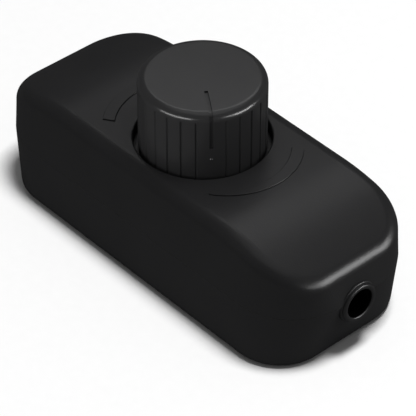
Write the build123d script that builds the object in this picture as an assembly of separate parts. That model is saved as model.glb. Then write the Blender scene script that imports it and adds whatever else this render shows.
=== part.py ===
from build123d import *
import math
import os

# Inline rotary dimmer for a lamp cord, in millimetres, with +Z up.
# The origin lies under the middle of the case, on the surface that it stands on.
# +X runs along the case to one cable entry, and +Y runs across it.

# Case
case_length = 100.0
case_width = 41.4
crown_height = 29.5
parting_height = 15.2
corner_radius = 15.2
upper_end_lean = 2.3
upper_side_lean = 1.6
upper_corner_length = 13.2
upper_corner_width = 8.0
lower_end_lean = 3.6
lower_side_lean = 0.1
lower_corner_radius = 11.5
crown_flat_length = 50.8
shoulder_radius = 47.5
crown_edge_radius = 3.9
base_edge_radius = 2.2
wall = 2.0
seam_chamfer = 0.12
lip_height = 1.2
lip_thickness = 0.9
lip_clearance = 0.1
lip_end_gap = 14.0
steepest_crown_normal = 0.8
edge_tolerance = 0.01

# Knob well and the two crescent wedges beside it
knob_x = 0.4
well_radius = 15.3
well_depth = 3.0
well_floor_thickness = 2.0
well_mouth_radius = 0.4
wedge_start_angle = -38.0
wedge_middle_angle = -2.0
wedge_end_angle = 34.5
wedge_inner_start = 20.3
wedge_inner_middle = 21.1
wedge_inner_end = 19.9
wedge_outer_start = 20.7
wedge_outer_middle = 23.4
wedge_outer_end = 22.7
wedge_relief = 0.3
wedge_edge_radius = 0.14

# Knob
knob_radius = 14.2
knob_rise = 16.2
knob_lift = 0.7
knob_wall = 1.8
knob_roof = 2.2
knob_rim_radius = 1.9
flute_count = 27
flute_depth = 0.25
flute_width = 0.56
flute_rim_gap = 0.15
pointer_angle = -34.2
pointer_start = 5.5
pointer_width = 0.8
pointer_depth = 0.4
pointer_length_on_side = 7.0
pip_radius = 0.5
pip_height = 4.4
hub_radius = 5.4
hub_gap = 0.7
knob_rib_count = 6
knob_rib_thickness = 1.2
knob_rib_rise = 4.0
spring_thickness = 0.4
spring_width = 4.2
spring_length = 8.0

# Potentiometer
shaft_radius = 3.0
shaft_reach = 17.5
shaft_flat_distance = 1.5
shaft_flat_length = 9.5
running_clearance = 0.05
bushing_radius = 3.5
bushing_length = 6.0
pot_radius = 8.2
plate_thickness = 1.2
lug_radius = 0.7
lug_height = 1.2
lug_offset = 6.3
washer_radius = 5.9
washer_thickness = 0.5
nut_flats = 10.0
nut_thickness = 2.0
nut_chamfer = 0.6
wafer_thickness = 1.2
wafer_radius = 7.5
wafer_hole_radius = 4.7
wafer_tail_width = 14.0
wafer_tail_reach = 11.4
ring_groove_depth = 0.6
ring_radius = 4.2
ring_thickness = 0.5
rotor_radius = 6.6
rotor_thickness = 2.0
rotor_drop = 0.8
can_thickness = 0.4
can_side_clearance = 0.05
can_floor_gap = 0.6
travel = 300.0
dead_angle = -90.0
stop_width = 20.0
stop_reach = 0.7
stop_gap = 0.3
stop_margin = 1.0
wiper_radius = 5.6
wiper_thickness = 0.25
wiper_finger_width = 1.6
wiper_gap = 0.3
terminal_pitch = 5.0
terminal_width = 1.2
terminal_thickness = 0.4

# Cable entries
cable_height = 13.5
cable_radius = 3.2
bush_bore_radius = 3.45
bush_neck_radius = 4.2
bush_flange_radius = 5.5
bush_collar_radius = 4.7
bush_lip_edge = 0.55
bush_collar_reach = 0.65
bush_flange_thickness = 1.2
bush_clearance = 0.05
pad_depth = 2.5
pad_radius = 5.1
pad_edge_radius = 0.35

# Screws
screw_length = 10.0
thread_radius = 1.45
thread_clearance = 0.05
screw_tip = 2.0
screw_head_radius = 2.8
screw_head_height = 2.1
screw_head_edge = 0.9
recess_width = 0.8
recess_length = 3.0
recess_depth = 1.1
case_screw_setback = 19.5
case_screw_y = 14.4
pillar_radius = 4.6
boss_radius = 3.5
screw_seat_height = 10.2
counterbore_radius = 3.2
screw_hole_radius = 1.65
pilot_spare = 1.0

# Cord clamps
clamp_setback = 10.5
clamp_width = 7.0
clamp_span = 24.0
clamp_thickness = 2.0
clamp_screw_y = 8.6
clamp_foot_drop = 1.4
clamp_post_radius = 3.2
anvil_width = 3.0

# Circuit board
board_setback = 15.0
board_width = 31.0
board_thickness = 1.6
board_drop = 22.5
board_corner_radius = 1.5
board_notch_clearance = 0.5
board_post_radius = 2.2
board_post_spacing = 8.5
board_post_y = 13.3
lead_clearance = 0.1
lead_reach = 1.5

# Switching device and its cooling
package_width = 10.2
package_thickness = 4.5
package_height = 9.2
package_lift = 0.2
package_edge = 0.5
tab_thickness = 1.3
tab_height = 15.6
tab_hole_height = 12.8
leg_pitch = 2.54
leg_width = 0.8
leg_thickness = 0.5
leg_distance = 2.4
sink_gap = 2.5
sink_width = 23.5
sink_height = 15.0
sink_thickness = 1.5
sink_wing = 9.0
sink_bend_radius = 1.2
bolt_radius = 1.5
bolt_clearance = 0.1
bolt_length = 6.0
bolt_head_radius = 2.75
bolt_head_height = 1.8
bolt_nut_flats = 5.5
bolt_nut_thickness = 2.4

# Coil
choke_gap = 2.0
choke_y = -6.5
choke_radius = 6.0
choke_height = 9.4
choke_flange = 1.5
choke_core_radius = 3.2
winding_radius = 5.3
winding_rows = 9
tail_radius = 0.35
tail_offset = 4.8

# Capacitors
suppressor_gap = 1.2
suppressor_y = 6.0
suppressor_size = (14.5, 6.0, 9.0)
suppressor_pitch = 10.0
timing_x = -3.5
timing_y = -4.6
timing_size = (7.2, 2.8, 7.5)
timing_pitch = 5.0
capacitor_edge = 0.6
lead_radius = 0.35

# Resistors and trigger diode, each lying on the board with its leads bent down
resistor_radius = 1.1
resistor_length = 6.3
resistor_pitch = 10.0
resistor_cap_radius = 1.25
resistor_cap_length = 1.6
timing_resistor_place = (-4.5, 6.0)
limit_resistor_place = (-4.5, 2.6)
diac_radius = 0.95
diac_length = 3.8
diac_pitch = 8.0
diac_place = (-4.5, -0.4)
lying_gap = 0.1

# Fuse
fuse_gap = 2.0
fuse_y = 12.3
fuse_length = 20.0
fuse_radius = 2.4
fuse_wall = 0.5
fuse_cap_radius = 2.6
fuse_cap_length = 5.0
fuse_cap_floor = 0.6
clip_thickness = 0.4
clip_length = 4.0
clip_lift = 0.6
clip_leg_width = 1.0
clip_opening = 3.0

# Terminal blocks
block_gap = 2.0
block_length = 8.0
block_width = 10.5
block_height = 10.0
pole_pitch = 5.0
wire_hole_radius = 1.6
wire_hole_height = 3.6
block_screw_hole_radius = 1.8
cage_wall = 0.5
cage_size = (4.0, 4.1, 6.0)
cage_floor = 0.8
block_screw_radius = 1.25
block_screw_head_radius = 1.7
block_screw_head_height = 1.4
block_screw_length = 4.0
slot_width = 0.5
slot_depth = 0.6
cage_pin_radius = 0.5

# Places along the case and heights that follow from the sizes above
case_screw_x = case_length / 2 - case_screw_setback
clamp_x = case_length / 2 - clamp_setback
block_x = clamp_x - clamp_width / 2 - block_gap - block_length / 2
block_inner_end = block_x - block_length / 2
choke_x = block_inner_end - choke_gap - choke_radius
suppressor_x = block_inner_end - suppressor_gap - suppressor_size[0] / 2
sink_x = sink_gap - block_inner_end
fuse_x = sink_x + sink_thickness + sink_wing + fuse_gap + fuse_length / 2
board_post_x = case_screw_x - board_post_spacing
board_length = case_length - 2 * board_setback
well_floor_height = crown_height - well_depth
mount_height = well_floor_height - well_floor_thickness
plate_bottom = mount_height - plate_thickness
wafer_bottom = plate_bottom - wafer_thickness
rotor_top = wafer_bottom - rotor_drop
rotor_bottom = rotor_top - rotor_thickness
can_floor = rotor_bottom - can_floor_gap
bushing_top = mount_height + bushing_length
shaft_top = mount_height + shaft_reach
washer_top = well_floor_height + washer_thickness
knob_bottom = well_floor_height + knob_lift
knob_top = crown_height + knob_rise
hub_bottom = bushing_top + hub_gap
board_height = crown_height - board_drop
board_top = board_height + board_thickness
clamp_post_height = cable_height - clamp_foot_drop
lead_bottom = board_height - lead_reach
pilot_depth = screw_length + pilot_spare


def rod(radius, low, high, x=0.0, y=0.0):
    """Upright cylinder between two heights."""
    return Pos(x, y, low) * Cylinder(radius, high - low, align=(Align.CENTER, Align.CENTER, Align.MIN))


def rod_along_x(radius, start, end, y, height):
    """Level cylinder between two places along X."""
    level = Pos(start, y, height) * Rot(0, 90, 0)
    return level * Cylinder(radius, end - start, align=(Align.CENTER, Align.CENTER, Align.MIN))


def brick(low, high):
    """Box between two opposite corners."""
    size = [b - a for a, b in zip(low, high)]
    return Pos(*low) * Box(*size, align=Align.MIN)


def turned(points):
    """Solid of revolution about Z of a closed outline of (radius, height) points."""
    return revolve(Plane.XZ * make_face(Polyline(*points, close=True)), Axis.Z)


def at_both_ends(shape):
    """A shape at the +X end, and the same turned half round to the -X end."""
    return [shape, Rot(0, 0, 180) * shape]


def at_corners(x, y):
    """The four places at plus or minus x and y."""
    return [(side * x, edge * y) for side in (-1, 1) for edge in (-1, 1)]


def above_seam(shape):
    """The part of a shape above the parting plane."""
    return split(shape, bisect_by=Plane.XY.offset(parting_height), keep=Keep.TOP)


def below_seam(shape):
    """The part of a shape below the parting plane."""
    return split(shape, bisect_by=Plane.XY.offset(parting_height), keep=Keep.BOTTOM)


def rounded_outline(length, width, corner_length, corner_width):
    """Rectangle about the origin with an elliptical corner at each of its four places."""
    x = length / 2 - corner_length
    y = width / 2 - corner_width
    edges = [Line((-x, side * width / 2), (x, side * width / 2)) for side in (-1, 1)]
    edges += [Line((side * length / 2, -y), (side * length / 2, y)) for side in (-1, 1)]
    for across, along, start in ((1, 1, 0), (-1, 1, 90), (-1, -1, 180), (1, -1, 270)):
        centre = (across * x, along * y)
        corner = EllipticalCenterArc(centre, corner_length, corner_width, start_angle=start, arc_size=90)
        edges.append(corner)
    return make_face(edges)


def case_outline(height, inset=0.0):
    """Outline of the case at a height. The walls lean in both ways from the seam."""
    if height < parting_height:
        share = (parting_height - height) / parting_height
        end_lean, side_lean = lower_end_lean, lower_side_lean
        far_length, far_width = lower_corner_radius, lower_corner_radius
    else:
        share = (height - parting_height) / (crown_height - parting_height)
        end_lean, side_lean = upper_end_lean, upper_side_lean
        far_length, far_width = upper_corner_length, upper_corner_width
    length = case_length - 2 * (share * end_lean + inset)
    width = case_width - 2 * (share * side_lean + inset)
    corner_length = corner_radius + share * (far_length - corner_radius) - inset
    corner_width = corner_radius + share * (far_width - corner_radius) - inset
    return Pos(0, 0, height) * rounded_outline(length, width, corner_length, corner_width)


def case_block(low, high, inset=0.0):
    """Solid between two heights of the case, with straight leaning walls."""
    return loft([case_outline(low, inset), case_outline(high, inset)], ruled=True)


def crown_prism(inset=0.0):
    """Side profile of the crown: flat in the middle, then a round shoulder down to each end."""
    flat = crown_flat_length / 2
    end = case_length / 2 + wall
    radius = shoulder_radius - inset
    top = crown_height - inset
    drop = radius - math.sqrt(radius ** 2 - (end - flat) ** 2)
    right = TangentArc((flat, top), (end, top - drop), tangent=(1, 0))
    left = TangentArc((-flat, top), (-end, top - drop), tangent=(-1, 0))
    top_line = Line((-flat, top), (flat, top))
    base = Polyline((end, top - drop), (end, 0), (-end, 0), (-end, top - drop))
    profile = make_face(Plane.XZ * (top_line + right + left + base))
    return extrude(profile, amount=case_width, both=True)


def seam_bevel(height):
    """Thin slab between the seam and a height near it, which narrows by the bevel at the seam."""
    return loft([case_outline(parting_height, seam_chamfer), case_outline(height)], ruled=True)


def upper_form():
    """Outer form of the upper shell, solid, with its rounded rim and its half of the seam groove."""
    low = parting_height + seam_chamfer
    form = (seam_bevel(low) + case_block(low, crown_height)) & crown_prism()
    crown = form.faces().filter_by(lambda face: face.normal_at().Z > steepest_crown_normal)
    flat = crown_flat_length / 2
    rim = [edge for edge in crown.edges() if abs(abs(edge.center().X) - flat) > edge_tolerance]
    return fillet(rim, crown_edge_radius)


def lower_form():
    """Outer form of the lower shell, solid, with its rounded base and its half of the seam groove."""
    high = parting_height - seam_chamfer
    form = case_block(0, high)
    form = fillet(form.edges().group_by(Axis.Z)[0], base_edge_radius)
    return form + seam_bevel(high)


def seam_ring(outer_inset, inner_inset, height):
    """Upright ring that follows the case's outline at the seam."""
    outer = extrude(case_outline(parting_height, outer_inset), height)
    return outer - extrude(case_outline(parting_height, inner_inset), height)


def bush_seats():
    """Flat pads in both end walls that the bushes are held by, with a rounded outer edge."""
    end = case_length / 2
    pad = rod_along_x(pad_radius, end - pad_depth, end, 0, cable_height)
    return at_both_ends(fillet(pad.edges().group_by(Axis.X)[-1], pad_edge_radius))


def bush_pockets():
    """Room for both bushes: the neck through the pad, and the inner flange behind it."""
    end = case_length / 2
    neck = rod_along_x(bush_neck_radius + bush_clearance, end - 2 * pad_depth, end + wall, 0, cable_height)
    behind = bush_flange_radius + bush_clearance
    flange = rod_along_x(behind, end - 2 * pad_depth, end - pad_depth, 0, cable_height)
    return at_both_ends(neck + flange)


def polar(radius, angle):
    """Point at a radius and an angle in degrees."""
    return (radius * math.cos(math.radians(angle)), radius * math.sin(math.radians(angle)))


def crescent_wedge():
    """One wedge in relief between two arcs that part from its thin end to its square end."""
    angles = (wedge_start_angle, wedge_middle_angle, wedge_end_angle)
    inner_radii = (wedge_inner_start, wedge_inner_middle, wedge_inner_end)
    outer_radii = (wedge_outer_start, wedge_outer_middle, wedge_outer_end)
    inner = [polar(radius, angle) for radius, angle in zip(inner_radii, angles)]
    outer = [polar(radius, angle) for radius, angle in zip(outer_radii, angles)]
    edges = ThreePointArc(*inner) + ThreePointArc(*outer)
    edges += [Line(inner[0], outer[0]), Line(inner[2], outer[2])]
    wedge = extrude(Pos(0, 0, crown_height - wall / 2) * make_face(edges), wall / 2 + wedge_relief)
    return fillet(wedge.edges().group_by(Axis.Z)[-1], wedge_edge_radius)


def upper_shell():
    """Cover with the crown, the knob's well, the two wedges, four bosses and the rebate for the lip."""
    outer = upper_form()
    shell = outer - (case_block(parting_height, crown_height, wall) & crown_prism(wall))
    rebate = wall - lip_thickness - lip_clearance
    shell -= seam_ring(rebate, wall + lip_clearance, lip_height + lip_clearance)
    shell += [above_seam(pad) for pad in bush_seats()]
    for x, y in at_corners(case_screw_x, case_screw_y):
        shell += rod(boss_radius, parting_height, crown_height, x, y) & outer
    shell += rod(well_radius + wall, mount_height, crown_height - wall / 2, knob_x)
    for turn in (0, 180):
        shell += Pos(knob_x, 0, 0) * Rot(0, 0, turn) * crescent_wedge()
    shell -= rod(well_radius, well_floor_height, crown_height + wall, knob_x)
    circles = shell.edges().filter_by(GeomType.CIRCLE)
    mouth = circles.filter_by_position(Axis.Z, crown_height, crown_height)
    rim = [edge for edge in mouth if abs(edge.radius - well_radius) < edge_tolerance]
    shell = fillet(rim, well_mouth_radius)
    shell -= rod(bushing_radius + lead_clearance, mount_height, well_floor_height, knob_x)
    shell -= rod(lug_radius + lead_clearance, mount_height, mount_height + lug_height + lead_clearance,
                 knob_x - lug_offset)
    pilot_top = screw_seat_height + pilot_depth
    for x, y in at_corners(case_screw_x, case_screw_y):
        shell -= rod(thread_radius + thread_clearance, parting_height, pilot_top, x, y)
    shell -= bush_pockets()
    return shell


def cord_posts():
    """Posts for the cord clamps' screws and the rib that each cord is pressed on."""
    floor = wall / 2
    places = at_corners(clamp_x, clamp_screw_y)
    posts = [rod(clamp_post_radius, floor, clamp_post_height, x, y) for x, y in places]
    rib_top = cable_height - cable_radius
    rib = brick((clamp_x - anvil_width / 2, -cable_radius, floor),
                (clamp_x + anvil_width / 2, cable_radius, rib_top))
    return posts + at_both_ends(rib)


def lower_shell():
    """Tray with four counterbored pillars, posts for the board and the clamps, and the lip at the seam."""
    shell = lower_form() - case_block(wall, parting_height, wall)
    lip = seam_ring(wall - lip_thickness, wall, lip_height)
    gap = lip_end_gap / 2
    lip -= brick((-case_length, -gap, parting_height), (case_length, gap, parting_height + lip_height))
    shell += lip
    shell += seam_ring(wall - lip_thickness, wall, -lip_height)
    shell += [below_seam(pad) for pad in bush_seats()]
    for x, y in at_corners(case_screw_x, case_screw_y):
        shell += rod(pillar_radius, wall / 2, parting_height, x, y)
    for x, y in at_corners(board_post_x, board_post_y):
        shell += rod(board_post_radius, wall / 2, board_height, x, y)
    shell += cord_posts()
    for x, y in at_corners(case_screw_x, case_screw_y):
        shell -= rod(counterbore_radius, 0, screw_seat_height, x, y)
        shell -= rod(screw_hole_radius, 0, parting_height, x, y)
    pilot_bottom = clamp_post_height + clamp_thickness - pilot_depth
    for x, y in at_corners(clamp_x, clamp_screw_y):
        shell -= rod(thread_radius + thread_clearance, pilot_bottom, clamp_post_height, x, y)
    shell -= bush_pockets()
    return shell


def cable_bush():
    """Round bush at the +X end: a low rounded collar, a neck through the wall and a flange inside."""
    end = case_length / 2
    tip = end + bush_collar_reach
    inner = end - pad_depth
    back = inner - bush_flange_thickness
    bush = turned([(bush_bore_radius, tip), (bush_collar_radius, tip), (bush_collar_radius, end),
                   (bush_neck_radius, end), (bush_neck_radius, inner), (bush_flange_radius, inner),
                   (bush_flange_radius, back), (bush_bore_radius, back)])
    bush = fillet(bush.edges().group_by(Axis.Z)[-1], bush_lip_edge)
    return Pos(0, 0, cable_height) * Rot(0, 90, 0) * bush


def cross_recess(top):
    """Cross-shaped driver recess, cut down from the top of a head."""
    low = top - recess_depth
    bar = brick((-recess_length / 2, -recess_width / 2, low), (recess_length / 2, recess_width / 2, top))
    return bar + Rot(0, 0, 90) * bar


def self_tapping_screw():
    """Pan-head screw with a pointed shank. Its seat is at the origin and its head is above."""
    head = rod(screw_head_radius, 0, screw_head_height)
    head = fillet(head.edges().group_by(Axis.Z)[-1], screw_head_edge)
    shank = rod(thread_radius, screw_tip - screw_length, 0)
    cone_top = screw_tip - screw_length
    tip = turned([(0, -screw_length), (thread_radius, cone_top), (0, cone_top)])
    return head + shank + tip - cross_recess(screw_head_height)


def case_screws():
    """Four screws that go up from the base into the upper shell's bosses."""
    screw = Rot(180, 0, 0) * self_tapping_screw()
    return [Pos(x, y, screw_seat_height) * screw for x, y in at_corners(case_screw_x, case_screw_y)]


def clamp_screws():
    """Four screws that hold the two cord clamps down."""
    seat = clamp_post_height + clamp_thickness
    return [Pos(x, y, seat) * self_tapping_screw() for x, y in at_corners(clamp_x, clamp_screw_y)]


def cord_clamp():
    """Saddle over the cord at the +X end, with a flat foot on each post."""
    low, high = clamp_post_height, clamp_post_height + clamp_thickness
    near, far = clamp_x - clamp_width / 2, clamp_x + clamp_width / 2
    foot = brick((near, -clamp_span / 2, low), (far, clamp_span / 2, high))
    foot = fillet(foot.edges().filter_by(Axis.Z), clamp_thickness)
    saddle = rod_along_x(cable_radius + clamp_thickness, near, far, 0, cable_height)
    under = brick((near, -clamp_span, 0), (far, clamp_span, low))
    clamp = foot + saddle - under - rod_along_x(cable_radius, near, far, 0, cable_height)
    for side in (-1, 1):
        clamp -= rod(screw_hole_radius, low, high, clamp_x, side * clamp_screw_y)
    return clamp


def knob_form(inset=0.0):
    """Outer form of the knob with its rounded rim, moved in by an inset."""
    form = rod(knob_radius - inset, knob_bottom, knob_top - inset)
    return fillet(form.edges().group_by(Axis.Z)[-1], knob_rim_radius - inset)


def flutes():
    """V-shaped flutes down the knob's side, with the pointer's own place left out."""
    tip = knob_radius - flute_depth
    base = knob_radius + flute_depth
    section = make_face(Polyline((tip, 0), (base, flute_width), (base, -flute_width), close=True))
    height = knob_top - knob_rim_radius - flute_rim_gap - knob_bottom
    flute = extrude(Pos(0, 0, knob_bottom) * section, height)
    pitch = 360 / flute_count
    return [Rot(0, 0, pointer_angle + pitch * count) * flute for count in range(1, flute_count)]


def pointer_groove():
    """Groove that runs out over the top, round the rim and part of the way down the side."""
    low = knob_top - knob_rim_radius - pointer_length_on_side
    edge = pointer_width / 2
    slab = brick((pointer_start, -edge, low), (knob_radius + edge, edge, knob_top))
    return Rot(0, 0, pointer_angle) * (slab - knob_form(pointer_depth))


def shaft_socket():
    """Hole in the knob's hub for the shaft, with the flat set back by the spring's thickness."""
    radius = shaft_radius + running_clearance
    high = shaft_top + running_clearance
    flat = shaft_flat_distance + spring_thickness
    socket = rod(radius, hub_bottom, high)
    return socket - brick((flat, -radius, shaft_top - spring_length), (radius, radius, high))


def knob_rib(count):
    """Upright rib between the hub and the skirt."""
    middle = (hub_radius + knob_radius - knob_wall) / 2
    length = knob_radius - hub_radius
    low = hub_bottom + knob_rib_rise
    rib = brick((middle - length / 2, -knob_rib_thickness / 2, low),
                (knob_radius - knob_wall / 2, knob_rib_thickness / 2, knob_top - knob_roof))
    return Rot(0, 0, count * 360 / knob_rib_count) * rib


def knob():
    """Hollow fluted knob with its pointer, pip, hub and ribs, on its own axis."""
    roof = knob_top - knob_roof
    body = knob_form() - rod(knob_radius - knob_wall, knob_bottom, roof)
    body += rod(hub_radius, hub_bottom, roof)
    body += [knob_rib(count) for count in range(knob_rib_count)]
    body -= flutes()
    body -= pointer_groove()
    pip = Rot(0, 0, pointer_angle) * Pos(knob_radius - pip_radius / 2, 0, crown_height + pip_height)
    body += pip * Sphere(pip_radius)
    return body - shaft_socket()


def knob_spring():
    """Flat spring that grips between the hub and the shaft's flat."""
    low = shaft_top - spring_length
    edge = spring_width / 2
    return brick((shaft_flat_distance, -edge, low), (shaft_flat_distance + spring_thickness, edge, shaft_top))


def pot_shaft():
    """Round shaft with a flat at its upper end and a groove for the retaining ring."""
    shaft = rod(shaft_radius, rotor_bottom, shaft_top)
    shaft = chamfer(shaft.edges().group_by(Axis.Z)[-1], ring_thickness)
    shaft -= brick((shaft_flat_distance, -shaft_radius, shaft_top - shaft_flat_length),
                   (shaft_radius, shaft_radius, shaft_top))
    groove_middle = (plate_bottom + wafer_bottom) / 2
    low, high = groove_middle - ring_thickness / 2, groove_middle + ring_thickness / 2
    groove = rod(shaft_radius, low, high) - rod(shaft_radius - ring_groove_depth, low, high)
    return shaft - groove


def pot_ring():
    """Open ring that sits in the shaft's groove, inside the wafer's hole."""
    groove_middle = (plate_bottom + wafer_bottom) / 2
    low, high = groove_middle - ring_thickness / 2, groove_middle + ring_thickness / 2
    inner = shaft_radius - ring_groove_depth
    ring = rod(ring_radius, low, high) - rod(inner, low, high)
    return ring - brick((0, -inner / 2, low), (ring_radius, inner / 2, high))


def sector(radius, half_angle, low, high):
    """Upright wedge about +X, out to a radius."""
    far = 2 * radius
    face = make_face(Polyline((0, 0), polar(far, -half_angle), polar(far, half_angle), close=True))
    return extrude(Pos(0, 0, low) * face, high - low) & rod(radius, low, high)


def pot_rotor():
    """Carrier disc on the shaft, with the nub that meets the can's stop."""
    nub = sector(rotor_radius + stop_reach, stop_width / 2, rotor_bottom, rotor_top)
    disc = rod(rotor_radius, rotor_bottom, rotor_top) + Rot(0, 0, pointer_angle) * nub
    return disc - rod(shaft_radius, rotor_bottom, rotor_top)


def pot_wiper():
    """Spring ring on the rotor with a raised finger under the track."""
    inner = (shaft_radius + wiper_radius) / 2
    top = rotor_top + wiper_thickness
    ring = rod(wiper_radius, rotor_top, top) - rod(inner, rotor_top, top)
    finger = brick((inner, -wiper_finger_width / 2, rotor_top),
                   (wiper_radius, wiper_finger_width / 2, wafer_bottom - wiper_gap))
    return ring + Rot(0, 0, pointer_angle) * finger


def pot_bushing():
    """Threaded bushing with its face plate and the lug that stops it turning in the well's floor."""
    plate = rod(pot_radius, plate_bottom, mount_height)
    bushing = plate + rod(bushing_radius, mount_height, bushing_top)
    bushing += rod(lug_radius, mount_height, mount_height + lug_height, -lug_offset)
    return bushing - rod(shaft_radius + running_clearance, plate_bottom, bushing_top)


def wafer_tail(clearance=0.0):
    """The wafer's square tail, which carries the terminals out of the can."""
    half = wafer_tail_width / 2 + clearance
    low = wafer_bottom - clearance
    return brick((-half, -wafer_tail_reach, low), (half, 0, plate_bottom))


def pot_track():
    """Round wafer with the resistance track, and its tail."""
    wafer = rod(wafer_radius, wafer_bottom, plate_bottom) + wafer_tail()
    return wafer - rod(wafer_hole_radius, wafer_bottom, plate_bottom)


def terminal_places():
    """Places of the three terminals along X, from the shaft's axis."""
    return [terminal_pitch * count for count in (-1, 0, 1)]


def pot_terminals():
    """Three bent strips, from under the wafer's tail down through the board."""
    strips = []
    edge = terminal_width / 2
    for x in terminal_places():
        flat = brick((x - edge, -wafer_tail_reach, wafer_bottom - terminal_thickness),
                     (x + edge, -pot_radius - terminal_thickness, wafer_bottom))
        leg = brick((x - edge, -wafer_tail_reach, lead_bottom),
                    (x + edge, terminal_thickness - wafer_tail_reach, wafer_bottom))
        strips.append(flat + leg)
    return strips


def pot_can():
    """Pressed cover, open where the wafer's tail comes out, with the stop for the rotor's nub."""
    bottom = can_floor - can_thickness
    can = rod(pot_radius, bottom, plate_bottom)
    can -= rod(pot_radius - can_thickness, can_floor, plate_bottom)
    can -= wafer_tail(can_side_clearance)
    stop_half_angle = (360 - travel) / 2 - stop_width / 2 - stop_margin
    stop = sector(pot_radius, stop_half_angle, can_floor, rotor_top)
    stop -= rod(rotor_radius + stop_gap, can_floor, rotor_top)
    return can + Rot(0, 0, dead_angle) * stop


def hexagon_nut(flats, thickness, hole_radius, edge):
    """Hexagonal nut on the origin, with its corners turned off."""
    prism = extrude(RegularPolygon(flats / 2, 6, major_radius=False), thickness)
    blank = rod(flats / math.sqrt(3), 0, thickness)
    blank = chamfer(blank.edges().filter_by(GeomType.CIRCLE), edge)
    return (prism & blank) - rod(hole_radius, 0, thickness)


def pot_nut():
    """Thin nut that clamps the well's floor on the face plate."""
    nut = hexagon_nut(nut_flats, nut_thickness, bushing_radius + thread_clearance, nut_chamfer)
    return Pos(0, 0, washer_top) * nut


def pot_washer():
    """Flat washer under the nut."""
    ring = rod(washer_radius, well_floor_height, washer_top)
    return ring - rod(bushing_radius + lead_clearance, well_floor_height, washer_top)


def lead_places():
    """Every place where a round lead passes the board, with the lead's radius."""
    places = []
    for x, y, pitch in ((suppressor_x, suppressor_y, suppressor_pitch), (timing_x, timing_y, timing_pitch)):
        places += [(x + side * pitch / 2, y, lead_radius) for side in (-1, 1)]
    for place, pitch in ((timing_resistor_place, resistor_pitch), (limit_resistor_place, resistor_pitch),
                         (diac_place, diac_pitch)):
        places += [(place[0] + side * pitch / 2, place[1], lead_radius) for side in (-1, 1)]
    places += [(choke_x + side * tail_offset, choke_y, tail_radius) for side in (-1, 1)]
    places += [(knob_x + x, terminal_thickness / 2 - wafer_tail_reach, terminal_width / 2)
               for x in terminal_places()]
    leg_x = sink_x + sink_thickness + leg_distance
    places += [(leg_x, count * leg_pitch, leg_width / 2) for count in (-1, 0, 1)]
    places += [(x, y, cage_pin_radius) for x, y in at_corners(block_x, pole_pitch / 2)]
    places += [(fuse_x + side * clip_offset(), fuse_y, clip_leg_width / 2) for side in (-1, 1)]
    return places


def circuit_board():
    """Board on four posts, with notches for the pillars and a hole for each lead."""
    outline = Pos(0, 0, board_height) * RectangleRounded(board_length, board_width, board_corner_radius)
    board = extrude(outline, board_thickness)
    notch = pillar_radius + board_notch_clearance
    board -= [rod(notch, board_height, board_top, x, y) for x, y in at_corners(case_screw_x, case_screw_y)]
    for x, y, radius in lead_places():
        board -= rod(radius + lead_clearance, board_height, board_top, x, y)
    return board


def tab_bolt_height():
    """Height of the hole in the tab and the heat sink."""
    return board_top + package_lift + tab_hole_height


def triac_frame():
    """Metal of the switching device: the tab against the heat sink, and three legs into the board."""
    back = sink_x + sink_thickness
    low = board_top + package_lift
    half = package_width / 2
    tab = brick((back, -half, low), (back + tab_thickness, half, low + tab_height))
    tab -= rod_along_x(bolt_radius + bolt_clearance, back, back + tab_thickness, 0, tab_bolt_height())
    pieces = []
    for count in (-1, 0, 1):
        y = count * leg_pitch
        edge = leg_width / 2
        near = back + leg_distance - leg_thickness / 2
        leg = brick((near, y - edge, lead_bottom), (near + leg_thickness, y + edge, low + leg_distance))
        pieces.append(leg)
    bridge = brick((back, -leg_width / 2, low + leg_distance - leg_thickness),
                   (back + leg_distance, leg_width / 2, low + leg_distance))
    pieces[1] = pieces[1] + tab + bridge
    return pieces


def triac_package():
    """Moulded body round the tab's foot and the legs' upper ends."""
    back = sink_x + sink_thickness
    low = board_top + package_lift
    half = package_width / 2
    body = brick((back, -half, low), (back + package_thickness, half, low + package_height))
    body = chamfer(body.faces().sort_by(Axis.X)[-1].edges(), package_edge)
    return body - triac_frame()


def heat_sink():
    """Folded aluminium plate that stands on the board, with a wing bent forward at each side."""
    half = sink_width / 2
    front = sink_x + sink_thickness
    top = board_top + sink_height
    outer = brick((sink_x, -half, board_top), (front + sink_wing, half, top))
    outer = fillet(outer.edges().filter_by(Axis.Z).sort_by(Axis.X)[:2], sink_bend_radius)
    inner = brick((front, sink_thickness - half, board_top), (front + sink_wing, half - sink_thickness, top))
    return outer - inner - rod_along_x(bolt_radius + bolt_clearance, sink_x, front, 0, tab_bolt_height())


def triac_screw():
    """Machine screw that bolts the tab to the heat sink."""
    head = rod(bolt_head_radius, 0, bolt_head_height)
    head = fillet(head.edges().group_by(Axis.Z)[-1], bolt_head_height / 2)
    screw = head + rod(bolt_radius, -bolt_length, 0) - cross_recess(bolt_head_height)
    seat = sink_x + sink_thickness + tab_thickness
    return Pos(seat, 0, tab_bolt_height()) * Rot(0, 90, 0) * screw


def triac_nut():
    """Nut behind the heat sink."""
    nut = hexagon_nut(bolt_nut_flats, bolt_nut_thickness, bolt_radius + thread_clearance, bolt_clearance)
    return Pos(sink_x, 0, tab_bolt_height()) * Rot(0, -90, 0) * nut


def choke_core():
    """Drum core on the board, with a slot at each side of its lower flange for the winding's tails."""
    top = board_top + choke_height
    core = rod(choke_radius, board_top, board_top + choke_flange) + rod(choke_core_radius, board_top, top)
    core += rod(choke_radius, top - choke_flange, top)
    slot = tail_radius + lead_clearance
    for side in (-1, 1):
        core -= rod(slot, board_top, board_top + choke_flange, side * tail_offset, 0)
    return Pos(choke_x, choke_y, 0) * core


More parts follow.
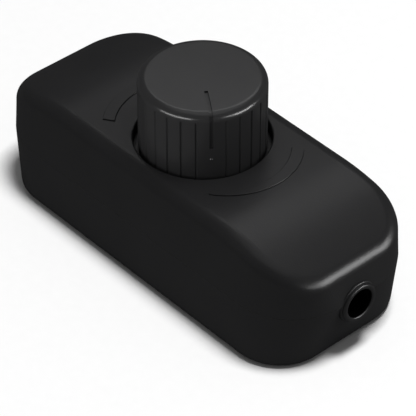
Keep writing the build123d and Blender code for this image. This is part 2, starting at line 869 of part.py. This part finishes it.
def choke_winding():
    """Wire wound on the core in rounded rows, with a tail to the board at each side."""
    low = board_top + choke_flange
    row = (choke_height - 2 * choke_flange) / winding_rows
    winding = rod(winding_radius - row / 2, low, board_top + choke_height - choke_flange)
    for count in range(winding_rows):
        middle = low + row / 2 + count * row
        winding += Pos(0, 0, middle) * Torus(winding_radius - row / 2, row / 2)
    winding -= rod(choke_core_radius, low, board_top + choke_height)
    for side in (-1, 1):
        winding += rod(tail_radius, lead_bottom, low + row, side * tail_offset, 0)
    return Pos(choke_x, choke_y, 0) * winding


def box_capacitor(x, y, size, pitch):
    """Boxed film capacitor on the board, with its two leads."""
    length, width, height = size
    box = brick((x - length / 2, y - width / 2, board_top),
                (x + length / 2, y + width / 2, board_top + height))
    rounded = box.edges().filter_by(Axis.Z) + box.edges().group_by(Axis.Z)[-1]
    box = fillet(rounded, capacitor_edge)
    for side in (-1, 1):
        box += rod(lead_radius, lead_bottom, board_top + capacitor_edge, x + side * pitch / 2, y)
    return box


def bent_leads(place, pitch, height):
    """One wire along X at a height, bent down through the board at both ends."""
    x, y = place
    half = pitch / 2
    path = FilletPolyline((x - half, y, lead_bottom), (x - half, y, height), (x + half, y, height),
                          (x + half, y, lead_bottom), radius=2 * lead_radius)
    section = Plane(origin=path @ 0, z_dir=path % 0) * Circle(lead_radius)
    return sweep(section, path)


def resistor(place):
    """Axial resistor with a thicker cap at each end and its bent leads."""
    x, y = place
    height = board_top + lying_gap + resistor_cap_radius
    start, end = x - resistor_length / 2, x + resistor_length / 2
    body = rod_along_x(resistor_radius, start, end, y, height)
    body += rod_along_x(resistor_cap_radius, start, start + resistor_cap_length, y, height)
    body += rod_along_x(resistor_cap_radius, end - resistor_cap_length, end, y, height)
    return body + bent_leads(place, resistor_pitch, height)


def diac():
    """Small glass trigger diode with its bent leads."""
    x, y = diac_place
    height = board_top + lying_gap + diac_radius
    body = rod_along_x(diac_radius, x - diac_length / 2, x + diac_length / 2, y, height)
    body = fillet(body.edges().filter_by(GeomType.CIRCLE), diac_radius / 2)
    return body + bent_leads(diac_place, diac_pitch, height)


def fuse_height():
    """Height of the fuse's axis above the case's base."""
    return board_top + clip_thickness + clip_lift + fuse_cap_radius


def clip_offset():
    """Distance of each fuse clip from the fuse's middle."""
    return (fuse_length - fuse_cap_length) / 2


def fuse_tube():
    """Glass tube of the fuse."""
    half = fuse_length / 2 - fuse_cap_floor
    tube = rod_along_x(fuse_radius, fuse_x - half, fuse_x + half, fuse_y, fuse_height())
    return tube - rod_along_x(fuse_radius - fuse_wall, fuse_x - half, fuse_x + half, fuse_y, fuse_height())


def fuse_caps():
    """Metal cap on each end of the glass."""
    caps = []
    for side in (-1, 1):
        far = fuse_x + side * fuse_length / 2
        near = far - side * fuse_cap_length
        floor = far - side * fuse_cap_floor
        cap = rod_along_x(fuse_cap_radius, min(near, far), max(near, far), fuse_y, fuse_height())
        caps.append(cap - rod_along_x(fuse_radius, min(near, floor), max(near, floor), fuse_y, fuse_height()))
    return caps


def fuse_clips():
    """Spring clip under each cap: a round cradle open at the top, a foot on the board and a leg."""
    clips = []
    outer = fuse_cap_radius + clip_thickness
    for side in (-1, 1):
        middle = fuse_x + side * clip_offset()
        near, far = middle - clip_length / 2, middle + clip_length / 2
        clip = rod_along_x(outer, near, far, fuse_y, fuse_height())
        clip -= brick((near, fuse_y - clip_opening / 2, fuse_height()),
                      (far, fuse_y + clip_opening / 2, fuse_height() + outer))
        foot = brick((near, fuse_y - outer / 2, board_top), (far, fuse_y + outer / 2, fuse_height()))
        leg = rod(clip_leg_width / 2, lead_bottom, board_top + clip_thickness, middle, fuse_y)
        clips.append(clip + foot + leg - rod_along_x(fuse_cap_radius, near, far, fuse_y, fuse_height()))
    return clips


def pole_places():
    """The two poles of the +X terminal block."""
    return [(block_x, pole * pole_pitch / 2) for pole in (-1, 1)]


def cage_room(x, y, clearance=0.0):
    """Outer form of one cage, which the block has a pocket for."""
    length, width, height = cage_size
    low = board_top + cage_floor
    return brick((x - length / 2 - clearance, y - width / 2 - clearance, low),
                 (x + length / 2 + clearance, y + width / 2 + clearance, low + height + clearance))


def terminal_block():
    """Two-pole moulded block at the +X end: wire holes face the cable entry, screws go in from the top."""
    half = block_width / 2
    top = board_top + block_height
    body = brick((block_x - block_length / 2, -half, board_top), (block_x + block_length / 2, half, top))
    body = chamfer(body.faces().sort_by(Axis.Z)[-1].edges().filter_by(Axis.Y), capacitor_edge)
    for x, y in pole_places():
        body -= cage_room(x, y, bush_clearance)
        body -= rod(block_screw_hole_radius, board_top + cage_floor, top, x, y)
        body -= rod(cage_pin_radius + lead_clearance, board_top, board_top + cage_floor, x, y)
        body -= rod_along_x(wire_hole_radius, x, x + block_length, y, board_top + wire_hole_height)
    return body


def terminal_cage(x, y):
    """Square metal sleeve with a threaded roof and a pin to the board."""
    length, width, height = cage_size
    low = board_top + cage_floor
    cage = cage_room(x, y)
    cage -= brick((x - length / 2, y - width / 2 + cage_wall, low + cage_wall),
                  (x + length / 2, y + width / 2 - cage_wall, low + height - 2 * cage_wall))
    cage -= rod(block_screw_radius + thread_clearance, low + height / 2, low + height, x, y)
    return cage + rod(cage_pin_radius, lead_bottom, low, x, y)


def terminal_screw(x, y):
    """Slotted screw in the cage's roof, backed off so that a wire can go in."""
    seat = board_top + cage_floor + cage_size[2]
    top = seat + block_screw_head_height
    screw = rod(block_screw_head_radius, seat, top)
    screw += rod(block_screw_radius, seat - block_screw_length / 2, seat)
    slot = brick((-block_screw_head_radius, -slot_width / 2, top - slot_depth),
                 (block_screw_head_radius, slot_width / 2, top))
    return Pos(x, y, 0) * (screw - slot)


def terminal_places_all():
    """The four poles of both terminal blocks."""
    return [(side * x, side * y) for side in (-1, 1) for x, y in pole_places()]


def on_knob_axis(shape):
    """Moves what was modelled about its own axis to the knob's place."""
    if isinstance(shape, list):
        return [Pos(knob_x, 0, 0) * piece for piece in shape]
    return Pos(knob_x, 0, 0) * shape


def pieces():
    """Every node's name with its solid, or with its group of separate solids."""
    bushes, clamps, blocks = (at_both_ends(make()) for make in (cable_bush, cord_clamp, terminal_block))
    made = {
        "upper_shell": upper_shell(),
        "lower_shell": lower_shell(),
        "case_screws": case_screws(),
        "cable_bush_right": bushes[0],
        "cable_bush_left": bushes[1],
        "cord_clamp_right": clamps[0],
        "cord_clamp_left": clamps[1],
        "clamp_screws": clamp_screws(),
        "circuit_board": circuit_board(),
        "triac_package": triac_package(),
        "triac_frame": triac_frame(),
        "heat_sink": heat_sink(),
        "triac_screw": triac_screw(),
        "triac_nut": triac_nut(),
        "choke_core": choke_core(),
        "choke_winding": choke_winding(),
        "suppressor_capacitor": box_capacitor(suppressor_x, suppressor_y, suppressor_size, suppressor_pitch),
        "timing_capacitor": box_capacitor(timing_x, timing_y, timing_size, timing_pitch),
        "timing_resistor": resistor(timing_resistor_place),
        "limit_resistor": resistor(limit_resistor_place),
        "diac": diac(),
        "fuse_tube": fuse_tube(),
        "fuse_caps": fuse_caps(),
        "fuse_clips": fuse_clips(),
        "terminal_block_right": blocks[0],
        "terminal_block_left": blocks[1],
        "terminal_cages": [terminal_cage(x, y) for x, y in terminal_places_all()],
        "terminal_screws": [terminal_screw(x, y) for x, y in terminal_places_all()],
    }
    for make in (knob, knob_spring, pot_shaft, pot_ring, pot_rotor, pot_wiper, pot_bushing, pot_track,
                 pot_terminals, pot_can, pot_nut, pot_washer):
        made[make.__name__] = on_knob_axis(make())
    return made


os.makedirs("parts", exist_ok=True)
for name, shape in pieces().items():
    group = shape if isinstance(shape, list) else [shape]
    solids = [solid for part in group for solid in part.solids()]
    export_step(Compound(children=solids), f"parts/{name}.step")
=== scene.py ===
import math

import bpy
import numpy as np
from mathutils import Matrix, Vector


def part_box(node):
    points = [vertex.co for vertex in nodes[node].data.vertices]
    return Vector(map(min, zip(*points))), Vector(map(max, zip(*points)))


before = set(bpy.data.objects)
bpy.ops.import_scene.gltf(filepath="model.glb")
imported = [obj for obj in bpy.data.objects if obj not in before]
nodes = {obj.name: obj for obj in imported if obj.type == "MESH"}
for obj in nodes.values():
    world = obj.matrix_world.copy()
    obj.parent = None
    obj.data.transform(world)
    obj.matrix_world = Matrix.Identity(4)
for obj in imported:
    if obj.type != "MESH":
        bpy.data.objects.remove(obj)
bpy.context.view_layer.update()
scene = bpy.context.scene

# Camera: on the side of the right-hand cable entry, looking down on the long front
CAMERA_AZIMUTH = math.radians(48.245)
CAMERA_ELEVATION = math.radians(39.837)
CAMERA_PLACE = Vector((0.34623, -0.30719, 0.39456))
CAMERA_NEAREST, CAMERA_FARTHEST = 0.01, 20.0
SENSOR_WIDTH = 36.0
FOCAL_PIXELS = 2693.51
FRAME_PIXELS = 416

# Floor and backdrop: how far they reach, and the bend between them, measured from the object's middle
FLOOR_NEAR, FLOOR_HALF_WIDTH = -2.4, 3.4
BEND_START, BEND_RADIUS = 2.2, 0.8
BACKDROP_TOP = 1.2
FLOOR_ROWS, BEND_ROWS, BACKDROP_ROWS, FLOOR_COLUMNS = 12, 16, 6, 15

# Heights on the case and its bushes where colour stands in for light, painted sheen along the seam and
# painted shade in the bore, and how far from them it reaches
SEAM_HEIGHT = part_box("upper_shell")[0][2]
SEAM_REACH = 0.0002
bush_low, bush_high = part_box("cable_bush_right")
BORE_HEIGHT = (bush_low[2] + bush_high[2]) / 2
BORE_REACH = 0.0036

# Even light from all sides, as a share of white
SURROUNDINGS = 0.15
WHITE = (1.0, 1.0, 1.0, 1.0)


def lamp_group(name, pieces=()):
    """Collection of the pieces that a lamp may be kept to."""
    group = bpy.data.collections.new(name)
    for piece in pieces:
        group.objects.link(piece)
    return group


OBJECT_ONLY = lamp_group("object_only", nodes.values())
KNOB_ONLY = lamp_group("knob_only", [nodes["knob"]])
CASE_ONLY = lamp_group("case_only", [piece for name, piece in nodes.items() if name != "knob"])
FLOOR_ONLY = lamp_group("floor_only")


def new_mesh_object(name, points, faces):
    """Puts arrays of points and of faces into a new smooth object at the origin."""
    mesh = bpy.data.meshes.new(name)
    mesh.from_pydata(points.tolist(), [], faces.tolist())
    mesh.polygons.foreach_set("use_smooth", np.full(len(mesh.polygons), True))
    mesh.update()
    piece = bpy.data.objects.new(name, mesh)
    scene.collection.objects.link(piece)
    return piece


def grid_faces(rows, columns):
    """Four-cornered faces of a grid of rows by columns of points, numbered row after row."""
    row, column = np.meshgrid(np.arange(rows - 1), np.arange(columns - 1), indexing="ij")
    corner = (row * columns + column).ravel()
    return np.stack([corner, corner + columns, corner + columns + 1, corner + 1], 1)


def studio_floor():
    """Floor that curves up into a backdrop. Across the view it is a straight line. Away from the camera its
    height is zero up to a bend, then a quarter circle of the bend's radius, then straight up."""
    flat = np.stack([np.linspace(FLOOR_NEAR, BEND_START, FLOOR_ROWS), np.zeros(FLOOR_ROWS)], 1)
    turn = np.linspace(0, math.pi / 2, BEND_ROWS + 1)[1:]
    bend = np.stack([BEND_START + BEND_RADIUS * np.sin(turn), BEND_RADIUS * (1 - np.cos(turn))], 1)
    rise = np.linspace(BEND_RADIUS, BACKDROP_TOP, BACKDROP_ROWS + 1)[1:]
    wall = np.stack([np.full(BACKDROP_ROWS, BEND_START + BEND_RADIUS), rise], 1)
    profile = np.concatenate([flat, bend, wall])
    across = np.linspace(-FLOOR_HALF_WIDTH, FLOOR_HALF_WIDTH, FLOOR_COLUMNS)
    away = Vector((-math.sin(CAMERA_AZIMUTH), math.cos(CAMERA_AZIMUTH)))
    side = Vector((away.y, -away.x))
    distance, offset = np.meshgrid(profile[:, 0], across, indexing="ij")
    height = np.repeat(profile[:, 1:], FLOOR_COLUMNS, 1)
    points = np.stack([away.x * distance + side.x * offset, away.y * distance + side.y * offset, height], -1)
    floor = new_mesh_object("floor", points.reshape(-1, 3), grid_faces(len(profile), FLOOR_COLUMNS))
    FLOOR_ONLY.objects.link(floor)
    return floor


def place_camera():
    """Camera whose sight line comes from its two angles, with no roll."""
    back = Vector((math.sin(CAMERA_AZIMUTH) * math.cos(CAMERA_ELEVATION),
                   -math.cos(CAMERA_AZIMUTH) * math.cos(CAMERA_ELEVATION), math.sin(CAMERA_ELEVATION)))
    right = Vector((math.cos(CAMERA_AZIMUTH), math.sin(CAMERA_AZIMUTH), 0.0))
    up = back.cross(right)
    data = bpy.data.cameras.new("camera")
    data.sensor_width = SENSOR_WIDTH
    data.lens = FOCAL_PIXELS * SENSOR_WIDTH / FRAME_PIXELS
    data.clip_start, data.clip_end = CAMERA_NEAREST, CAMERA_FARTHEST
    camera = bpy.data.objects.new("camera", data)
    turn = Matrix((right, up, back)).transposed().to_4x4()
    camera.matrix_world = Matrix.Translation(CAMERA_PLACE) @ turn
    scene.collection.objects.link(camera)
    scene.camera = camera


def softbox(name, receivers, direction, distance, size, radiance, matte=True, reflected=True):
    """Rectangular lamp that faces the object and lights one group. Radiance 1 is as bright as white paper.
    It may be kept to the matte share of a surface's light, or to what the surface reflects."""
    data = bpy.data.lights.new(name, "AREA")
    data.shape = "RECTANGLE"
    data.size, data.size_y = size
    data.energy = radiance * math.pi * size[0] * size[1]
    lamp = bpy.data.objects.new(name, data)
    toward = Vector(direction).normalized()
    lamp.location = toward * distance
    lamp.rotation_euler = toward.to_track_quat("Z", "Y").to_euler()
    lamp.visible_camera = False
    lamp.visible_diffuse = matte
    lamp.visible_glossy = reflected
    lamp.light_linking.receiver_collection = receivers
    scene.collection.objects.link(lamp)


def studio_light():
    """Even surroundings, a small lamp for the floor, broad ones that shade the object, and others that show
    only as reflections on its rounded edges. The knob and the case have some of their own."""
    world = bpy.data.worlds.new("surroundings")
    world.use_nodes = True
    background = world.node_tree.nodes["Background"]
    background.inputs["Color"].default_value = WHITE
    background.inputs["Strength"].default_value = SURROUNDINGS
    scene.world = world
    softbox("floor_box", FLOOR_ONLY, direction=(0.15, 0.06, 0.98), distance=1.5, size=(0.34, 0.34),
            radiance=57.0)
    softbox("top_box", OBJECT_ONLY, direction=(-0.05, 0.12, 1.0), distance=1.3, size=(1.2, 1.2),
            radiance=3.7)
    softbox("front_box", OBJECT_ONLY, direction=(-0.3, -0.8, 0.6), distance=1.3, size=(0.8, 0.8),
            radiance=2.7, reflected=False)
    softbox("right_back_box", OBJECT_ONLY, direction=(0.5, 0.7, 0.5), distance=1.3, size=(0.8, 0.8),
            radiance=5.6, reflected=False)
    softbox("back_box", OBJECT_ONLY, direction=(-0.41, 0.51, 0.765), distance=1.5, size=(0.9, 0.42),
            radiance=13.4, matte=False)
    softbox("right_box", CASE_ONLY, direction=(0.74, 0.54, 0.22), distance=1.2, size=(0.80, 0.54),
            radiance=92.0, matte=False)
    softbox("front_right_box", OBJECT_ONLY, direction=(0.97, 0.10, 0.26), distance=1.2, size=(0.50, 0.24),
            radiance=48.0, matte=False)
    softbox("knob_left_box", KNOB_ONLY, direction=(0.08, -0.96, 0.17), distance=1.2, size=(1.1, 0.22),
            radiance=80.0, matte=False)
    softbox("knob_right_box", KNOB_ONLY, direction=(0.80, 0.45, 0.13), distance=1.2, size=(0.80, 0.22),
            radiance=120.0, matte=False)
    softbox("knob_side_box", KNOB_ONLY, direction=(0.20, -0.95, 0.28), distance=1.2, size=(0.8, 0.25),
            radiance=9.0, reflected=False)


# Shared effects


def effect_group(name, takes, gives):
    """Shader group with named sockets, and its two ends. What it takes are values, and how many numbers each
    has says what kind of socket it needs. What it gives are kinds of sockets."""
    kinds = {1: "NodeSocketFloat", 3: "NodeSocketVector", 4: "NodeSocketColor"}
    group = bpy.data.node_groups.new(name, "ShaderNodeTree")
    for label, value in takes.items():
        socket = group.interface.new_socket(name=label, in_out="INPUT", socket_type=kinds[np.size(value)])
        socket.default_value = value
    for label, kind in gives.items():
        group.interface.new_socket(name=label, in_out="OUTPUT", socket_type=kind)
    return group, group.nodes.new("NodeGroupInput").outputs, group.nodes.new("NodeGroupOutput").inputs


def feed(tree, socket, term):
    """Gives a socket another node's output, or a plain number or colour."""
    if isinstance(term, bpy.types.NodeSocket):
        tree.links.new(term, socket)
    else:
        socket.default_value = term


def calculate(tree, operation, *terms, clamped=False):
    """Result of one sum on outputs of other nodes and on numbers."""
    node = tree.nodes.new("ShaderNodeMath")
    node.operation, node.use_clamp = operation, clamped
    for socket, term in zip(node.inputs, terms):
        feed(tree, socket, term)
    return node.outputs["Value"]


def object_place(tree):
    """Place on the object, in metres from its origin."""
    return tree.nodes.new("ShaderNodeTexCoord").outputs["Object"]


def noise(tree, place, scale, detail):
    """Cloudy pattern from 0 to 1 with a mean of 0.5."""
    node = tree.nodes.new("ShaderNodeTexNoise")
    feed(tree, node.inputs["Vector"], place)
    feed(tree, node.inputs["Scale"], scale)
    feed(tree, node.inputs["Detail"], detail)
    return node.outputs["Fac"]


def brighten(tree, color, factor):
    """Colour times a factor that changes over the surface."""
    node = tree.nodes.new("ShaderNodeHueSaturation")
    feed(tree, node.inputs["Color"], color)
    feed(tree, node.inputs["Value"], factor)
    return node.outputs["Color"]


SURFACE_OUTPUTS = {"Color": "NodeSocketColor", "Roughness": "NodeSocketFloat", "Height": "NodeSocketFloat"}
NOISE_MEAN = 0.5


def mould_texture_group(grain_detail=3.0, flow_scale=60.0, flow_detail=4.0, tint_share=4.0):
    """Surface of a moulding: a fine etched grain as height, and a slow flow pattern that swings the roughness
    by the unevenness and the colour by a few times as much."""
    tree, given, result = effect_group(
        "mould_texture",
        {"Color": (0.02, 0.02, 0.02, 1.0), "Roughness": 0.4, "Grain Scale": 3000.0, "Grain Depth": 0.1,
         "Unevenness": 0.05},
        SURFACE_OUTPUTS)
    place = object_place(tree)
    grain = noise(tree, place, given["Grain Scale"], grain_detail)
    flow = noise(tree, place, flow_scale, flow_detail)
    swing = calculate(tree, "MULTIPLY", calculate(tree, "SUBTRACT", flow, NOISE_MEAN), given["Unevenness"])
    level = calculate(tree, "MULTIPLY_ADD", swing, tint_share, 1.0)
    tree.links.new(brighten(tree, given["Color"], level), result["Color"])
    tree.links.new(calculate(tree, "ADD", given["Roughness"], swing), result["Roughness"])
    tree.links.new(calculate(tree, "MULTIPLY", grain, given["Grain Depth"]), result["Height"])
    return tree


def worked_metal_group(streak_scale=1.0, streak_detail=4.0, cloud_scale=400.0, cloud_detail=5.0):
    """Surface of plated, turned or rolled metal: noise drawn out into fine streaks as height, and clouds that
    scale the colour and the roughness alike."""
    tree, given, result = effect_group(
        "worked_metal",
        {"Color": (0.6, 0.6, 0.6, 1.0), "Roughness": 0.3, "Streak Stretch": (200.0, 3000.0, 3000.0),
         "Streak Depth": 0.1, "Cloudiness": 0.2},
        SURFACE_OUTPUTS)
    place = object_place(tree)
    stretch = tree.nodes.new("ShaderNodeVectorMath")
    stretch.operation = "MULTIPLY"
    tree.links.new(place, stretch.inputs[0])
    tree.links.new(given["Streak Stretch"], stretch.inputs[1])
    streak = noise(tree, stretch.outputs["Vector"], streak_scale, streak_detail)
    cloud = calculate(tree, "SUBTRACT", noise(tree, place, cloud_scale, cloud_detail), NOISE_MEAN)
    level = calculate(tree, "MULTIPLY_ADD", cloud, given["Cloudiness"], 1.0)
    tree.links.new(brighten(tree, given["Color"], level), result["Color"])
    tree.links.new(calculate(tree, "MULTIPLY", given["Roughness"], level), result["Roughness"])
    tree.links.new(calculate(tree, "MULTIPLY", streak, given["Streak Depth"]), result["Height"])
    return tree


def band_mask_group():
    """Mask that is 1 within a reach of a height on the case. Where round is 1, it is within that radius of
    the line along X at that height instead."""
    tree, given, result = effect_group(
        "band_mask", {"Height": 0.015, "Reach": 0.001, "Round": 0.0, "Softness": 0.0001},
        {"Mask": "NodeSocketFloat"})
    split = tree.nodes.new("ShaderNodeSeparateXYZ")
    tree.links.new(object_place(tree), split.inputs[0])
    offset, distance = tree.nodes.new("ShaderNodeCombineXYZ"), tree.nodes.new("ShaderNodeVectorMath")
    distance.operation = "LENGTH"
    tree.links.new(calculate(tree, "MULTIPLY", split.outputs["Y"], given["Round"]), offset.inputs["Y"])
    tree.links.new(calculate(tree, "SUBTRACT", split.outputs["Z"], given["Height"]), offset.inputs["Z"])
    tree.links.new(offset.outputs["Vector"], distance.inputs[0])
    inside = calculate(tree, "SUBTRACT", given["Reach"], distance.outputs["Value"])
    tree.links.new(calculate(tree, "DIVIDE", inside, given["Softness"], clamped=True), result["Mask"])
    return tree


# Materials


def place_group(tree, group, values):
    """Puts a shared effect into a material with its own values."""
    effect = tree.nodes.new("ShaderNodeGroup")
    effect.node_tree = group
    for key, value in values.items():
        effect.inputs[key].default_value = value
    return effect.outputs


def surface_material(name, group, values, shader_values, bump_distance=0.0001):
    """Material whose colour, roughness and height come from a shared effect. A coat, where it has one, has
    the same bumps and one even roughness."""
    material = bpy.data.materials.new(name)
    material.use_nodes = True
    tree = material.node_tree
    shader = tree.nodes["Principled BSDF"].inputs
    for key, value in shader_values.items():
        shader[key].default_value = value
    effect = place_group(tree, group, values)
    bump = tree.nodes.new("ShaderNodeBump")
    bump.inputs["Distance"].default_value = bump_distance
    bump.inputs["Strength"].default_value = 1.0
    tree.links.new(effect["Color"], shader["Base Color"])
    tree.links.new(effect["Roughness"], shader["Roughness"])
    tree.links.new(effect["Height"], bump.inputs["Height"])
    tree.links.new(bump.outputs["Normal"], shader["Normal"])
    if shader["Coat Weight"].default_value > 0.0:
        shader["Coat Roughness"].default_value = values["Roughness"]
        tree.links.new(bump.outputs["Normal"], shader["Coat Normal"])
    return material


def plastic(name, color, roughness, specular=0.5, grain=3000.0, depth=0.3, unevenness=0.06, **extra):
    """Moulded plastic with an etched grain."""
    return surface_material(
        name, MOULD_TEXTURE,
        {"Color": (*color, 1.0), "Roughness": roughness, "Grain Scale": grain, "Grain Depth": depth,
         "Unevenness": unevenness},
        {"Specular IOR Level": specular, **extra})


def black_plastic(name, color, roughness, gloss, grain, depth):
    """Black moulding. All its gloss is a thin coat, which grows less towards a flat view than a plain
    surface's gloss does."""
    return plastic(name, color, roughness, specular=0.0, grain=grain, depth=depth,
                   **{"Coat Weight": gloss, "Coat IOR": 2.5})


def metal(name, color, roughness, stretch=(300.0, 4000.0, 4000.0), depth=0.1, cloudiness=0.25):
    """Metal with streaks from rolling, turning or drawing, which run along the axis of least stretch."""
    return surface_material(
        name, WORKED_METAL,
        {"Color": (*color, 1.0), "Roughness": roughness, "Streak Stretch": stretch, "Streak Depth": depth,
         "Cloudiness": cloudiness},
        {"Metallic": 1.0})


def dull_and_paint_light_inside(material, height, reach, shade, rounded=0.0):
    """Gives a black moulding one painted tone and takes its gloss away inside a band mask. The tone is
    painted light: painted shade where it is darker, painted sheen where it is lighter.
    """
    tree = material.node_tree
    shader = tree.nodes["Principled BSDF"].inputs
    mask = place_group(tree, BAND_MASK, {"Height": height, "Reach": reach, "Round": rounded})["Mask"]
    mix = tree.nodes.new("ShaderNodeMix")
    mix.data_type = "RGBA"
    mix.inputs["B"].default_value = (shade, shade, shade, 1.0)
    tree.links.new(mask, mix.inputs["Factor"])
    tree.links.new(shader["Base Color"].links[0].from_socket, mix.inputs["A"])
    tree.links.new(mix.outputs["Result"], shader["Base Color"])
    gloss = shader["Coat Weight"].default_value
    tree.links.new(calculate(tree, "MULTIPLY_ADD", mask, -gloss, gloss), shader["Coat Weight"])


def white_paper(darkest=0.94, lightest=0.97, fibre_scale=400.0, fibre_detail=2.0):
    """Matte white paper with a faint fibre pattern."""
    material = bpy.data.materials.new("white_paper")
    material.use_nodes = True
    tree = material.node_tree
    shader = tree.nodes["Principled BSDF"].inputs
    shader["Roughness"].default_value = 0.9
    shader["Specular IOR Level"].default_value = 0.0
    ramp = tree.nodes.new("ShaderNodeValToRGB")
    for stop, level in zip(ramp.color_ramp.elements, (darkest, lightest)):
        stop.color = (level, level, level, 1.0)
    tree.links.new(noise(tree, object_place(tree), fibre_scale, fibre_detail), ramp.inputs["Fac"])
    tree.links.new(ramp.outputs["Color"], shader["Base Color"])
    return material


def dress(material, *names):
    """Puts a material in every slot of the named nodes."""
    for name in names:
        for slot in nodes[name].material_slots:
            slot.material = material


MOULD_TEXTURE = mould_texture_group()
WORKED_METAL = worked_metal_group()
BAND_MASK = band_mask_group()

# Black mouldings: the case with a dull line at its seam, lighter as painted sheen, the knob, and the bushes
# with a bore darkened as painted shade
case_black = black_plastic("case_black", (0.0118, 0.0118, 0.0122), roughness=0.30, gloss=0.0152,
                           grain=2600.0, depth=0.25)
# The seam line loses its gloss and is coloured lighter: painted sheen in place of the reflection it loses
dull_and_paint_light_inside(case_black, SEAM_HEIGHT, SEAM_REACH, shade=0.02)
dress(case_black, "upper_shell", "lower_shell")
knob_black = black_plastic("knob_black", (0.0156, 0.0156, 0.016), roughness=0.24, gloss=0.0262,
                           grain=3200.0, depth=0.15)
dress(knob_black, "knob")
bush_black = black_plastic("bush_black", (0.0125, 0.0125, 0.0129), roughness=0.28, gloss=0.0152,
                           grain=3600.0, depth=0.1)
# The bore is coloured near black: painted shade inside the hole
dull_and_paint_light_inside(bush_black, BORE_HEIGHT, BORE_REACH, shade=0.0008, rounded=1.0)
dress(bush_black, "cable_bush_right", "cable_bush_left")

# Plastics and glass inside the case
dress(plastic("clamp_white", (0.62, 0.6, 0.54), roughness=0.45, grain=2500.0, **{"Subsurface Weight": 0.1}),
      "cord_clamp_right", "cord_clamp_left")
dress(plastic("rotor_cream", (0.66, 0.62, 0.52), roughness=0.45), "pot_rotor")
dress(plastic("phenolic_brown", (0.20, 0.09, 0.035), roughness=0.5, unevenness=0.14), "pot_track")
dress(plastic("board_green", (0.02, 0.11, 0.045), roughness=0.28, grain=900.0, depth=0.2), "circuit_board")
dress(plastic("epoxy_black", (0.02, 0.02, 0.022), roughness=0.55, grain=5000.0), "triac_package")
dress(plastic("ferrite_grey", (0.03, 0.03, 0.034), roughness=0.5, grain=6000.0), "choke_core")
dress(plastic("capacitor_yellow", (0.66, 0.40, 0.03), roughness=0.3), "suppressor_capacitor")
dress(plastic("capacitor_red", (0.34, 0.02, 0.012), roughness=0.3), "timing_capacitor")
dress(plastic("block_grey", (0.12, 0.125, 0.13), roughness=0.42), "terminal_block_right",
      "terminal_block_left")
dress(plastic("diac_blue", (0.02, 0.05, 0.17), roughness=0.25), "diac")
dress(plastic("resistor_tan", (0.44, 0.28, 0.14), roughness=0.35), "timing_resistor", "limit_resistor")
dress(plastic("fuse_glass", (0.9, 0.95, 0.95), roughness=0.05, depth=0.01, **{"Transmission Weight": 1.0}),
      "fuse_tube")

# Metals: fasteners, springs, contacts and the parts that carry heat or current
dress(metal("zinc", (0.62, 0.63, 0.66), roughness=0.3), "case_screws", "clamp_screws", "pot_nut",
      "pot_washer", "triac_screw", "triac_nut", "pot_can", "terminal_screws")
dress(metal("spring_steel", (0.4, 0.4, 0.42), roughness=0.25), "knob_spring", "pot_ring")
dress(metal("brass", (0.72, 0.5, 0.2), roughness=0.28), "pot_bushing", "pot_wiper", "terminal_cages")
dress(metal("turned_aluminium", (0.72, 0.72, 0.74), roughness=0.3, stretch=(4000.0, 4000.0, 9000.0)),
      "pot_shaft")
dress(metal("tin", (0.68, 0.68, 0.66), roughness=0.35), "pot_terminals", "triac_frame", "fuse_clips")
dress(metal("sheet_aluminium", (0.66, 0.67, 0.69), roughness=0.35, stretch=(4000.0, 4000.0, 300.0)),
      "heat_sink")
dress(metal("nickel", (0.66, 0.62, 0.55), roughness=0.15), "fuse_caps")
dress(metal("lacquered_copper", (0.55, 0.17, 0.06), roughness=0.25, stretch=(500.0, 500.0, 8000.0)),
      "choke_winding")

place_camera()
studio_light()
studio_floor().data.materials.append(white_paper())
scene.view_settings.view_transform = "Standard"
